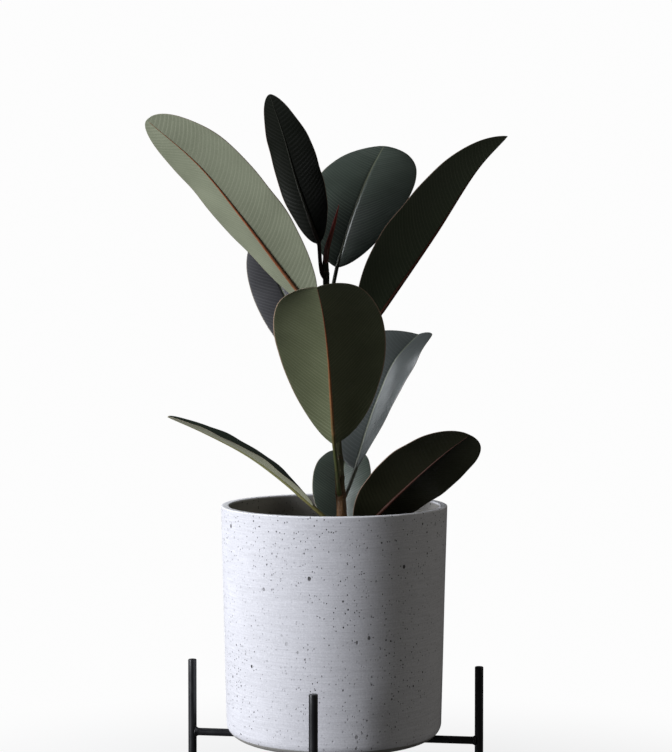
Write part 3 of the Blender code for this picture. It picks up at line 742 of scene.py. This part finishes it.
def make_stem():
    """Round rings carried up the stem. The radius is the stem's own, plus a bell
    at each node, less a narrow bell just over it, plus three fine sines."""
    path = smooth_path(STEM, np.linspace(0.0, 1.0, 460))
    height = path[:, 2:3]
    angle = full_turn(56)[None, :]
    radius = path[:, 3:4] * np.ones_like(angle)
    scar = np.zeros_like(radius)
    scars = [shape["node"] + 0.004 for shape in LEAVES.values()] + list(OLD_SCARS)
    for number, level in enumerate(scars):
        tilt = level + 0.0011 * np.sin(angle + 2.4 * number)
        gap = height - tilt
        radius = radius + 0.00055 * np.exp(-(gap / 0.0034)**2)
        radius = radius - 0.0005 * np.exp(-((gap - 0.0012) / 0.00055)**2)
        scar = np.maximum(scar, np.exp(-((gap - 0.001) / 0.0009)**2))
    radius = radius + waves((0.00012, 5 * angle + 160 * height),
                            (0.00009, 9 * angle - 230 * height),
                            (0.00007, 14 * angle + 420 * height))
    verts, faces = ring_grid(level_rings(path, radius, angle))
    stem = add_piece("main_stem_bark", verts, faces, "bark", "main_stem", stem_material())
    add_attribute(stem, "scar", scar)


def bud_material():
    """Glossy dark red sheath, greener at its foot, with fine length lines."""
    nodes = Nodes("bud_sheath")
    level = nodes.ramp(nodes.axes()["Z"], 0.67, 0.735)
    lines = nodes.noise(900.0, 3.0, stretch=(1.0, 1.0, 0.08))
    colour = nodes.mix(level, (0.11, 0.024, 0.012), (0.36, 0.026, 0.014))
    colour = nodes.mix(nodes.ramp(lines, 0.4, 0.7, 0.0, 0.5), colour, (0.03, 0.008, 0.006))
    relief = nodes.bump(lines, 0.3, 0.0002)
    return nodes.finish(colour, nodes.ramp(lines, 0.2, 0.8, 0.28, 0.42), relief)


def make_bud():
    """A tapering wrap: the radius falls to a point, and steps down by a fifth
    once in each turn, along a seam that winds half a turn up the sheath."""
    share = np.linspace(0.0, 1.0, 120)
    path = smooth_path(BUD, share)
    angle = full_turn(64)[None, :]
    turn = (angle / (2 * math.pi) + 0.5 * share[:, None] + 0.1) % 1.0
    step = 0.16 * turn * smoothstep(1.0, 0.93, turn)
    radius = path[:, 3:4] * (0.94 + step)
    verts, faces = ring_grid(level_rings(path, radius, angle))
    add_piece("bud_sheath_wrap", verts, faces, "bud", "bud_sheath", bud_material())


# ---- the pot
def concrete_material():
    """Pale cast concrete: level brush streaks, soft clouds, pits with depth and painted shade in
    them.
    """
    nodes = Nodes("cast_concrete")
    clouds = nodes.noise(9.0, 6.0, 0.6)
    streaks = nodes.noise(30.0, 9.0, 0.75, stretch=(1.0, 1.0, 26.0))
    grain = nodes.noise(620.0, 3.0, 0.6)
    colour = nodes.mix(clouds, (0.505, 0.503, 0.532), (0.64, 0.638, 0.672))
    colour = nodes.mix(nodes.ramp(streaks, 0.38, 0.62, 0.0, 0.55), colour, (0.425, 0.424, 0.446))
    colour = nodes.mix(nodes.ramp(grain, 0.45, 0.75, 0.0, 0.45), colour, (0.72, 0.718, 0.745))
    colour = nodes.mix(nodes.ramp(grain, 0.42, 0.25, 0.0, 0.4), colour, (0.33, 0.33, 0.35))
    axes = nodes.axes()
    across = nodes.math("SQRT", nodes.math("ADD", nodes.math("POWER", axes["X"], 2.0),
                                           nodes.math("POWER", axes["Y"], 2.0)))
    within = nodes.ramp(across, POT_INNER_RADIUS + 0.0006, POT_INNER_RADIUS + 0.0001)
    below = nodes.ramp(axes["Z"], POT_RIM_Z - 0.001, POT_RIM_Z - 0.0025)
    inside = nodes.math("MULTIPLY", within, below)
    # The inner wall below the rim turns darker and browner.
    inner_wall_colour = nodes.mix(clouds, (0.1, 0.096, 0.08), (0.3, 0.28, 0.235))
    colour = nodes.tint(colour, inside, 0.8, inner_wall_colour)
    rim = nodes.ramp(axes["Z"], POT_RIM_Z - 0.0012, POT_RIM_Z - 0.0004)
    colour = nodes.tint(colour, rim, 0.8, (0.88, 0.88, 0.91))
    region = nodes.ramp(nodes.noise(14.0, 2.0), 0.36, 0.58, 0.25, 1.0)
    pit_depth_and_shade = None
    for scale, low, high, share in ((85.0, 0.12, 0.16, 0.86), (210.0, 0.15, 0.21, 0.84),
                                    (430.0, 0.19, 0.28, 0.74)):
        holes = nodes.cells(scale, stretch=(1.0, 1.0, 0.8))
        draw = nodes.add("SeparateColor", Color=holes["Color"]).outputs["Red"]
        chosen = nodes.ramp(draw, share, share + 0.06)
        hole = nodes.ramp(holes["Distance"], high, low)
        hole = nodes.math("MULTIPLY", nodes.math("MULTIPLY", hole, chosen), region)
        pit_depth_and_shade = hole if pit_depth_and_shade is None else nodes.math("MAXIMUM", pit_depth_and_shade, hole)
    # Painted shade: the colour inside the pits goes to near black.
    colour = nodes.mix(pit_depth_and_shade, colour, (0.022, 0.021, 0.02))
    relief = nodes.bump(streaks, 0.22, 0.0006)
    relief = nodes.bump(grain, 0.25, 0.00025, relief)
    relief = nodes.bump(nodes.math("SUBTRACT", 1.0, pit_depth_and_shade), 0.9, 0.0012, relief)
    return nodes.finish(colour, nodes.ramp(clouds, 0.2, 0.8, 0.72, 0.88), relief)


def arc_points(centre, radius, start, end, count):
    """Points (radius, height) on an arc, angles in degrees."""
    angle = np.radians(np.linspace(start, end, count))
    return np.stack([centre[0] + radius * np.cos(angle), centre[1] + radius * np.sin(angle)], -1)


def revolve(profile, sides):
    """A closed outline of (radius, height) carried round the Z axis."""
    angle = full_turn(sides)[:, None]
    radius, height = profile.T
    points = np.stack([radius * np.cos(angle), radius * np.sin(angle), height + 0.0 * angle], -1)
    stations, ring = points.shape[:2]
    row = np.arange(stations)[:, None]
    column = np.arange(ring)[None, :]
    next_row, next_column = (row + 1) % stations, (column + 1) % ring
    quads = np.stack([row * ring + column, row * ring + next_column,
                      next_row * ring + next_column, next_row * ring + column], axis=-1)
    return points.reshape(-1, 3), [quads.reshape(-1, 4)]


def line_points(start, end, count):
    """Points on a straight line, without its last one."""
    return np.linspace(start, end, count, endpoint=False)


def make_pot(material):
    """One closed outline turned round the axis: base, rounded corner, tapered
    wall, rounded rim, inner wall, inner floor and drain hole. Two slow sines
    make the wall uneven."""
    foot = POT_RADIUS - POT_TAPER
    inner, inner_foot = POT_INNER_RADIUS, foot - POT_WALL
    rim = POT_RIM_Z - POT_BASE_Z
    profile = np.vstack([
        line_points((DRAIN_RADIUS, 0.0), (foot - POT_CORNER, 0.0), 14),
        arc_points((foot - POT_CORNER, POT_CORNER), POT_CORNER, -90, 0, 14),
        line_points((foot, POT_CORNER), (POT_RADIUS, rim - RIM_ROUND), 60)[1:],
        arc_points((POT_RADIUS - RIM_ROUND, rim - RIM_ROUND), RIM_ROUND, 0, 90, 6),
        arc_points((inner + RIM_ROUND, rim - RIM_ROUND), RIM_ROUND, 90, 180, 6),
        line_points((inner, rim - RIM_ROUND), (inner_foot, POT_FLOOR + 0.006), 30)[1:],
        arc_points((inner_foot - 0.006, POT_FLOOR + 0.006), 0.006, 0, -90, 6),
        line_points((inner_foot - 0.006, POT_FLOOR), (DRAIN_RADIUS, POT_FLOOR), 8)[1:],
        line_points((DRAIN_RADIUS, POT_FLOOR), (DRAIN_RADIUS, 0.0), 4),
    ])
    verts, faces = revolve(profile + np.array([0.0, POT_BASE_Z]), 288)
    angle = np.arctan2(verts[:, 1], verts[:, 0])
    uneven = waves((0.00012, 3 * angle + 19 * verts[:, 2]), (0.00008, 7 * angle - 41 * verts[:, 2]))
    reach = 1.0 + (uneven - 0.0002) / POT_RADIUS
    verts = verts * np.stack([reach, reach, np.ones_like(reach)], axis=-1)
    add_piece("pot_shell", verts, faces, "concrete", "pot", material)


def make_plug(rubber):
    """The drain hole's stopper: a shank with a hollow end, and over it a round
    head on the pot's floor, as a ring profile carried up the axis."""
    low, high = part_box("drain_plug")
    height, head = high.z - low.z, 0.5 * (high.x - low.x)
    neck = DRAIN_RADIUS - 0.0003
    bed = POT_BASE_Z + POT_FLOOR + 0.0003 - low.z
    outline = np.vstack([
        [(0.0022, 0.2 * neck), (0.0022, 0.55 * neck), (0.0016, 0.66 * neck), (0.0004, 0.72 * neck),
         (0.0, 0.78 * neck), (0.0, neck - 0.0012), (0.0003, neck - 0.0004)],
        line_points((0.0012, neck), (bed, neck), 8),
        [(bed, neck), (bed, head - 0.0004), (bed + 0.0004, head)],
        [(height - 0.001, head), (height - 0.0003, head - 0.0003), (height, head - 0.001),
         (height, 0.3 * head)],
    ])
    foot = np.array([0.0, 0.0, low.z])
    add_rod("drain_plug_rubber", foot, foot + np.array([0, 0, height]), outline, 72,
            "black_rubber", "drain_plug", rubber)


# ---- the soil
def soil_material():
    """Damp dark peat with lighter fibres."""
    nodes = Nodes("potting_soil")
    lumps = nodes.noise(180.0, 6.0, 0.7)
    colour = nodes.mix(nodes.ramp(lumps, 0.3, 0.7), (0.012, 0.007, 0.004), (0.075, 0.044, 0.025))
    fibres = nodes.noise(320.0, 4.0, 0.6, stretch=(1.0, 4.0, 1.0))
    colour = nodes.mix(nodes.ramp(fibres, 0.62, 0.75, 0.0, 0.6), colour, (0.19, 0.12, 0.065))
    relief = nodes.bump(lumps, 0.9, 0.002)
    return nodes.finish(colour, 0.95, relief)


def crumb_material(name, low, high):
    """A grain's own rough surface between two colours."""
    nodes = Nodes(name)
    lumps = nodes.noise(420.0, 5.0, 0.65)
    colour = nodes.mix(nodes.ramp(lumps, 0.3, 0.7), low, high)
    return nodes.finish(colour, 0.9, nodes.bump(lumps, 0.6, 0.0008))


def soil_height(x, y):
    """Uneven soil: a low crown towards the middle plus slow and quick sines."""
    radius = np.hypot(x, y) / POT_INNER_RADIUS
    return (SOIL_TOP_Z - 0.0016 - 0.0028 * radius**2
            + waves((0.0007, 71 * x + 38 * y), (0.0006, 97 * y - 55 * x + 1.0),
                    (0.0004, 233 * x - 160 * y), (0.00035, 301 * y + 190 * x + 2.0)))


def make_soil():
    """A disc of level rings with uneven height, over a plain tapered plug of
    soil down to the pot's floor."""
    inner = POT_INNER_RADIUS - 0.0009
    bottom = POT_BASE_Z + POT_FLOOR + 0.001
    share = np.linspace(0.02, 1.0, 70)[:, None]
    angle = full_turn(200)[None, :]
    radius = share * (inner - 0.0012)
    x, y = radius * np.cos(angle), radius * np.sin(angle)
    top = np.stack([x, y, soil_height(x, y)], axis=-1)
    low = np.stack([0.945 * x[-1:], 0.945 * y[-1:], np.full_like(x[-1:], bottom)], axis=-1)
    verts, faces = ring_grid(np.concatenate([top, low]))
    add_piece("potting_soil_bed", verts, flipped(faces), "soil", "potting_soil", soil_material())


def make_crumbs(name, count, low, high, seed, material, squash=0.7):
    """Loose grains on the soil: eight-faced lumps of random size and turn."""
    random = np.random.default_rng(seed)
    corners = np.vstack([np.eye(3), -np.eye(3)])[[0, 3, 1, 4, 2, 5]]
    triangles = np.array([(0, 2, 4), (2, 1, 4), (1, 3, 4), (3, 0, 4),
                          (2, 0, 5), (1, 2, 5), (3, 1, 5), (0, 3, 5)])
    radius = (POT_INNER_RADIUS - 0.006) * np.sqrt(random.random(count))
    angle = 2 * math.pi * random.random(count)
    x, y = radius * np.cos(angle), radius * np.sin(angle)
    keep = np.hypot(x - STEM[1, 0], y) > STEM[1, 3] + high
    x, y = x[keep], y[keep]
    size = low + (high - low) * random.random(len(x))**2
    turns = unit(random.normal(size=(len(x), 3, 3)))
    jitter = 1.0 + 0.35 * random.normal(size=(len(x), 6, 1)).clip(-1.5, 1.5)
    local = np.einsum("nij,ckj->nci", turns, corners[:, None, :]) * jitter * size[:, None, None]
    local = local.reshape(len(x), 6, 3) * np.array([1.0, 1.0, squash])
    centre = np.stack([x, y, soil_height(x, y) + 0.15 * size], axis=-1)
    verts = (centre[:, None, :] + local).reshape(-1, 3)
    verts[:, 2] = np.minimum(verts[:, 2], SOIL_TOP_Z + 0.004)
    faces = (np.arange(len(x))[:, None, None] * 6 + triangles[None]).reshape(-1, 3)
    add_piece(name, verts, [faces], "soil", "potting_soil", material, smooth=False)


# ---- the stand
def steel_material():
    """Black powder coat: fine orange-peel relief and a faintly uneven gloss."""
    nodes = Nodes("black_powder_coat")
    peel = nodes.noise(1500.0, 3.0)
    wear = nodes.noise(70.0, 5.0, 0.6)
    colour = nodes.mix(wear, (0.0045, 0.005, 0.006), (0.011, 0.0115, 0.013))
    relief = nodes.bump(peel, 0.16, 0.0001)
    return nodes.finish(colour, nodes.ramp(wear, 0.25, 0.75, 0.3, 0.42), relief)


def rubber_material():
    """Dull black rubber with a fine moulded grain."""
    nodes = Nodes("black_rubber")
    grain = nodes.noise(900.0, 4.0, 0.6)
    scuff = nodes.noise(150.0, 4.0)
    colour = nodes.mix(scuff, (0.011, 0.011, 0.011), (0.03, 0.029, 0.028))
    return nodes.finish(colour, nodes.ramp(scuff, 0.2, 0.8, 0.68, 0.85),
                        nodes.bump(grain, 0.3, 0.0002))


def carried_rings(start, end, profile, sides):
    """Rings of a (distance, radius) profile carried along a straight line."""
    along = unit(end - start)
    helper = np.array([0.0, 0.0, 1.0]) if abs(along[2]) < 0.9 else np.array([1.0, 0.0, 0.0])
    first = unit(np.cross(along, helper))
    second = np.cross(along, first)
    angle = full_turn(sides)[:, None]
    circle = np.cos(angle) * first + np.sin(angle) * second
    return start + profile[:, :1, None] * along + profile[:, 1:, None] * circle


def add_rod(name, start, end, profile, sides, slot, node, material):
    """A round piece: carried_rings, with both ends closed."""
    verts, faces = ring_grid(carried_rings(start, end, profile, sides))
    add_piece(name, verts, faces, slot, node, material)


def post_direction(quarter):
    """Unit direction in plan from the pot's axis to one of the four posts."""
    angle = -0.5 * math.pi + STAND_TURN + quarter * 0.5 * math.pi
    return np.array([math.cos(angle), math.sin(angle), 0.0])


def rod_profile(length, radius, bevel):
    """A straight rod whose two ends have a small quarter-round bevel."""
    turn = np.linspace(0.0, 0.5 * math.pi, 6)
    rise = np.stack([bevel * (1.0 - np.cos(turn)), radius - bevel + bevel * np.sin(turn)], -1)
    middle = np.stack([np.linspace(bevel, length - bevel, 24)[1:-1], np.full(22, radius)], -1)
    fall = np.stack([length - rise[::-1, 0], rise[::-1, 1]], -1)
    return np.vstack([rise, middle, fall])


def bar_profile(length, flare_start, flare_end):
    """A crossbar whose welded ends flare as a decaying curve into the post."""
    fine = 0.006
    distance = np.concatenate([np.linspace(0.0, fine, 16),
                               np.linspace(fine, length - fine, 40)[1:-1],
                               np.linspace(length - fine, length, 16)])
    bead = 1.0 + 0.12 * np.sin(distance * 2 * math.pi / 0.0016)
    flare = (flare_start * np.exp(-(distance / WELD_REACH)**2)
             + flare_end * np.exp(-((length - distance) / WELD_REACH)**2))
    return np.stack([distance, BAR_RADIUS + WELD_FLARE * flare * bead], -1)


def cap_profile(radius, height):
    """A foot cap: rounded at both ends, with a shallow ring groove."""
    groove = radius - 0.0003
    return np.array([(0.0, 0.3 * radius), (0.0, radius - 0.001), (0.0003, radius - 0.0004),
                     (0.001, radius), (0.35 * height, radius), (0.37 * height, groove),
                     (0.43 * height, groove), (0.45 * height, radius), (height - 0.0012, radius),
                     (height - 0.0004, radius - 0.0004), (height, radius - 0.001),
                     (height, POST_RADIUS * 0.9)])


def make_stand(steel, rubber):
    """Posts, crossbars with their welds, and foot caps, on their CAD places."""
    for quarter, name in enumerate(("front", "right", "rear", "left")):
        plan = post_direction(quarter) * POST_CIRCLE
        low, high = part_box(f"post_{name}")
        add_rod(f"post_{name}_rod", plan + (0, 0, low.z), plan + (0, 0, high.z),
                rod_profile(high.z - low.z, POST_RADIUS, 0.0008), 40,
                "black_steel", f"post_{name}", steel)
        low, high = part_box(f"foot_{name}")
        add_rod(f"foot_{name}_cap", plan + (0, 0, low.z), plan + (0, 0, high.z),
                cap_profile(0.5 * (high.x - low.x), high.z - low.z), 40,
                "black_rubber", f"foot_{name}", rubber)

    low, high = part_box("crossbar_long")
    centre = np.array([0.0, 0.0, 0.5 * (low.z + high.z)])
    reach = POST_CIRCLE - 0.72 * POST_RADIUS
    right, rear = post_direction(1), post_direction(2)
    bars = (("long", centre - right * reach, centre + right * reach, 1.0, 1.0),
            ("front", centre - rear * 0.5 * BAR_RADIUS, centre - rear * reach, 0.6, 1.0),
            ("rear", centre + rear * 0.5 * BAR_RADIUS, centre + rear * reach, 0.6, 1.0))
    for name, start, end, flare_start, flare_end in bars:
        profile = bar_profile(np.linalg.norm(end - start), flare_start, flare_end)
        add_rod(f"crossbar_{name}_rod", start, end, profile, 36,
                "black_steel", f"crossbar_{name}", steel)


# ---- stage, light and camera
BACKDROP = (0.98, 0.98, 0.98)
FADE_START, FADE_END = 0.3, 1.0     # distances from the plant, on the floor
# Soft panels: name, azimuth, elevation, size, watts and colour.
PANELS = (
    ("key_panel", 62, 5, (0.9, 1.0), 86.0, (0.93, 0.95, 1.0)),
    ("high_panel", 118, 46, (1.2, 1.0), 34.0, (0.92, 0.95, 1.0)),
    ("fill_panel", -78, 16, (1.8, 1.8), 8.5, (1.0, 0.96, 0.86)),
)
PANEL_DISTANCE = 2.4
PANEL_AIM = np.array([0.0, 0.0, 0.52])
CAMERA_PLACE = (0.002, -1.77, POT_BASE_Z + 0.43)
CAMERA_PITCH = 0.0285        # radians below level


def floor_material():
    """Pale floor that fades to the backdrop's white away from the plant."""
    nodes = Nodes("studio_floor")
    near = nodes.add("BsdfDiffuse", Color=(0.8, 0.8, 0.8)).outputs[0]
    white = nodes.add("Emission", Color=BACKDROP).outputs[0]
    dim = nodes.add("BsdfDiffuse", Color=(0.1, 0.1, 0.1)).outputs[0]
    distance = nodes.add("VectorMath", [("operation", "LENGTH")], Vector=nodes.place())
    fade = nodes.ramp(distance.outputs["Value"], FADE_START, FADE_END, 0.58)
    return nodes.show(nodes.mix_shaders(fade, near, white), dim, "OutputMaterial")


def make_stage():
    """A wide floor at z = 0."""
    side = 30.0
    verts = np.array([(-side, -side, 0), (side, -side, 0), (side, side, 0), (-side, side, 0)], float)
    floor = build_mesh("studio_floor", verts, [np.array([[0, 1, 2, 3]])], smooth=False)
    floor.data.materials.append(floor_material())


def make_world():
    """White behind the plant for the camera, and a dim grey for all else."""
    nodes = Nodes("studio", bpy.data.worlds)
    white = nodes.add("Background", Color=BACKDROP).outputs[0]
    dim = nodes.add("Background", Color=(0.92, 0.96, 1.0), Strength=0.035).outputs[0]
    bpy.context.scene.world = nodes.show(white, dim, "OutputWorld")


def area_light(name, azimuth, elevation, size, power, colour):
    """A soft panel that looks at the plant. Azimuth 0 is the camera's side,
    and it grows towards the left; both angles are in degrees."""
    light = bpy.data.lights.new(name, "AREA")
    light.shape = "RECTANGLE"
    light.size, light.size_y = size
    light.energy = power
    light.color = colour
    lamp = bpy.data.objects.new(name, light)
    bpy.context.scene.collection.objects.link(lamp)
    turn, rise = math.radians(azimuth), math.radians(elevation)
    way = np.array([-math.sin(turn) * math.cos(rise), -math.cos(turn) * math.cos(rise),
                    math.sin(rise)])
    lamp.location = PANEL_AIM + PANEL_DISTANCE * way
    lamp.rotation_euler = (0.5 * math.pi - rise, 0.0, -turn)


def make_camera():
    """Level with the leaves, 1.77 m in front of the pot's axis."""
    camera = bpy.data.cameras.new("camera")
    camera.lens = 80.0
    camera.sensor_width = 36.0
    camera.sensor_height = 36.0
    holder = bpy.data.objects.new("camera", camera)
    bpy.context.scene.collection.objects.link(holder)
    holder.location = CAMERA_PLACE
    holder.rotation_euler = (0.5 * math.pi - CAMERA_PITCH, 0.0, 0.0)
    bpy.context.scene.camera = holder
    bpy.context.scene.view_settings.view_transform = "Standard"
    bpy.context.scene.view_settings.look = "None"


def main():
    """Stage, light and camera first, and then the plant, its pot and the stand."""
    make_camera()
    make_world()
    make_stage()
    for panel in PANELS:
        area_light(*panel)

    materials = {("upper", kind): upper_leaf_material(kind) for kind in BLADES}
    materials.update({("under", kind): under_leaf_material(kind) for kind in BLADES})
    materials.update({("rib", kind): rib_material(kind) for kind in RIBS})
    for name, shape in LEAVES.items():
        make_leaf(name, shape, materials)
    make_stem()
    make_bud()

    rubber = rubber_material()
    make_pot(concrete_material())
    make_plug(rubber)
    make_soil()
    bark_chip = crumb_material("soil_crumb", (0.018, 0.01, 0.006), (0.11, 0.066, 0.036))
    make_crumbs("potting_soil_crumbs", 2600, 0.0006, 0.0034, 11, bark_chip)
    perlite = crumb_material("perlite", (0.42, 0.41, 0.38), (0.72, 0.71, 0.68))
    make_crumbs("potting_soil_perlite", 150, 0.0007, 0.0019, 12, perlite, squash=0.9)
    make_stand(steel_material(), rubber)


main()
